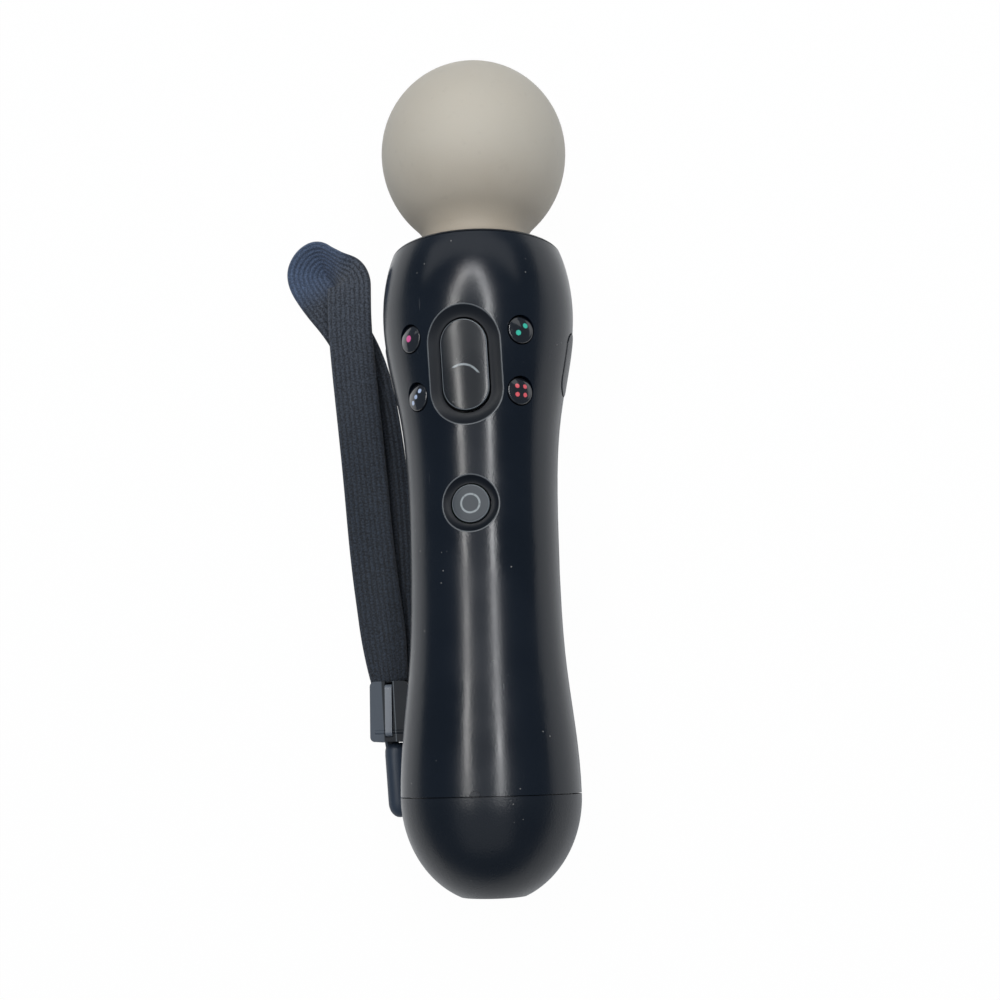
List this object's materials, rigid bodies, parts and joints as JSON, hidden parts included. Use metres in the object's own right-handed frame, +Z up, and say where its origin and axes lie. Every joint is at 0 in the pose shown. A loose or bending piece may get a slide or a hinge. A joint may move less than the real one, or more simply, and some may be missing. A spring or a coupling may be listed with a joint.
{
  "type": "motion controller wand",
  "caption": "Hand-held motion controller wand with a soft glow sphere, front keys, rear trigger and a webbing wrist strap.",
  "frame": {"origin": "on the surface that the wand lies on, below the middle of its length, on its plane of symmetry", "axes": "+Z up, towards the front keys; +Y along the wand to the glow sphere, -Y to the tail; +X to the start key's side"},
  "size_m": [0.0785, 0.2, 0.049],
  "materials": {
    "shell_black": "satin",
    "sphere_soft": "matte",
    "inner_plastic": "matte",
    "board": "satin",
    "lamp_clear": "polished",
    "ribbon": "satin",
    "mat_rubber": "matte",
    "switch_black": "satin",
    "steel": "satin",
    "battery_wrap": "satin",
    "lead": "satin",
    "motor_can": "satin",
    "weight_metal": "matte",
    "contact_gold": "satin",
    "cord_black": "matte",
    "sleeve_rubber": "matte",
    "lock_black": "satin",
    "webbing": "matte",
    "key_gloss": "satin",
    "key_clear": "gloss",
    "key_satin": "satin",
    "trigger_black": "satin"
  },
  "bodies": {
    "wand": {"front_shell": "shell_black", "rear_shell": "shell_black", "tail_cap": "shell_black", "top_collar": "shell_black", "glow_sphere": "sphere_soft", "sphere_base": "inner_plastic", "led_board": "board", "colour_led": "lamp_clear", "light_guide": "lamp_clear", "led_ribbon": "ribbon", "button_mat": "mat_rubber", "button_contacts": "board", "button_carrier": "inner_plastic", "home_pad": "mat_rubber", "status_lamp": "lamp_clear", "chassis": "inner_plastic", "start_switch": "switch_black", "select_switch": "switch_black", "reset_switch": "switch_black", "trigger_pin": "steel", "trigger_board": "board", "trigger_pad": "mat_rubber", "trigger_spring": "steel", "inner_frame": "inner_plastic", "main_board": "board", "board_chips": "switch_black", "board_screws": "steel", "case_screws": "steel", "battery": "battery_wrap", "battery_tray": "inner_plastic", "battery_plug": "switch_black", "battery_lead": "lead", "rumble_motor": "motor_can", "motor_cradle": "mat_rubber", "usb_port": "steel", "extension_port": "steel", "charge_contacts": "contact_gold", "port_board": "board", "strap_cord": "cord_black", "strap_sleeve": "sleeve_rubber", "lock_body": "lock_black", "lever_pin": "steel", "wrist_webbing": "webbing"},
    "lock_lever": {"lock_lever": "lock_black"},
    "rumble": {"motor_shaft": "steel", "eccentric_weight": "weight_metal"},
    "move_key": {"move_button": "key_gloss"},
    "home_key": {"home_button": "key_gloss"},
    "action_one": {"action_button_one": "key_clear"},
    "action_two": {"action_button_two": "key_clear"},
    "action_three": {"action_button_three": "key_clear"},
    "action_four": {"action_button_four": "key_clear"},
    "start_key": {"start_button": "key_satin"},
    "select_key": {"select_button": "key_satin"},
    "reset_key": {"reset_button": "key_satin"},
    "trigger": {"trigger": "trigger_black"}
  },
  "joints": [
    {"name": "move_press", "type": "slide", "parent": "wand", "child": "move_key", "axis": [0, 0, -1], "range_m": [0, 0.0009], "stiffness_N_per_m": 600, "springref_m": -0.001, "deforming": ["button_mat"]},
    {"name": "home_press", "type": "slide", "parent": "wand", "child": "home_key", "axis": [0, 0, -1], "range_m": [0, 0.0008], "stiffness_N_per_m": 500, "springref_m": -0.001, "deforming": ["home_pad"]},
    {"name": "action_one_press", "type": "slide", "parent": "wand", "child": "action_one", "axis": [0.5878, 0, -0.809], "range_m": [0, 0.0007], "stiffness_N_per_m": 500, "springref_m": -0.001},
    {"name": "action_two_press", "type": "slide", "parent": "wand", "child": "action_two", "axis": [-0.5878, 0, -0.809], "range_m": [0, 0.0007], "stiffness_N_per_m": 500, "springref_m": -0.001},
    {"name": "action_three_press", "type": "slide", "parent": "wand", "child": "action_three", "axis": [0.6157, 0, -0.788], "range_m": [0, 0.0007], "stiffness_N_per_m": 500, "springref_m": -0.001},
    {"name": "action_four_press", "type": "slide", "parent": "wand", "child": "action_four", "axis": [-0.6157, 0, -0.788], "range_m": [0, 0.0007], "stiffness_N_per_m": 500, "springref_m": -0.001},
    {"name": "start_press", "type": "slide", "parent": "wand", "child": "start_key", "axis": [-1, 0, 0], "range_m": [0, 0.0006], "stiffness_N_per_m": 500, "springref_m": -0.001},
    {"name": "select_press", "type": "slide", "parent": "wand", "child": "select_key", "axis": [1, 0, 0], "range_m": [0, 0.0006], "stiffness_N_per_m": 500, "springref_m": -0.001},
    {"name": "reset_press", "type": "slide", "parent": "wand", "child": "reset_key", "axis": [0, 0, 1], "range_m": [0, 0.0004], "stiffness_N_per_m": 500, "springref_m": -0.001},
    {"name": "trigger_pull", "type": "hinge", "parent": "wand", "child": "trigger", "pos_m": [0, 0.043, 0.0104], "axis": [-1, 0, 0], "range_deg": [0, 12], "stiffness_Nm_per_rad": 0.05, "springref_deg": -57.3, "deforming": ["trigger_spring"]},
    {"name": "rumble_spin", "type": "hinge", "parent": "wand", "child": "rumble", "pos_m": [0, -0.07, 0.023], "axis": [0, 1, 0], "continuous": true},
    {"name": "lock_flip", "type": "hinge", "parent": "wand", "child": "lock_lever", "pos_m": [-0.028, -0.0627, 0.0073], "axis": [1, 0, 0], "range_deg": [0, 70]}
  ]
}
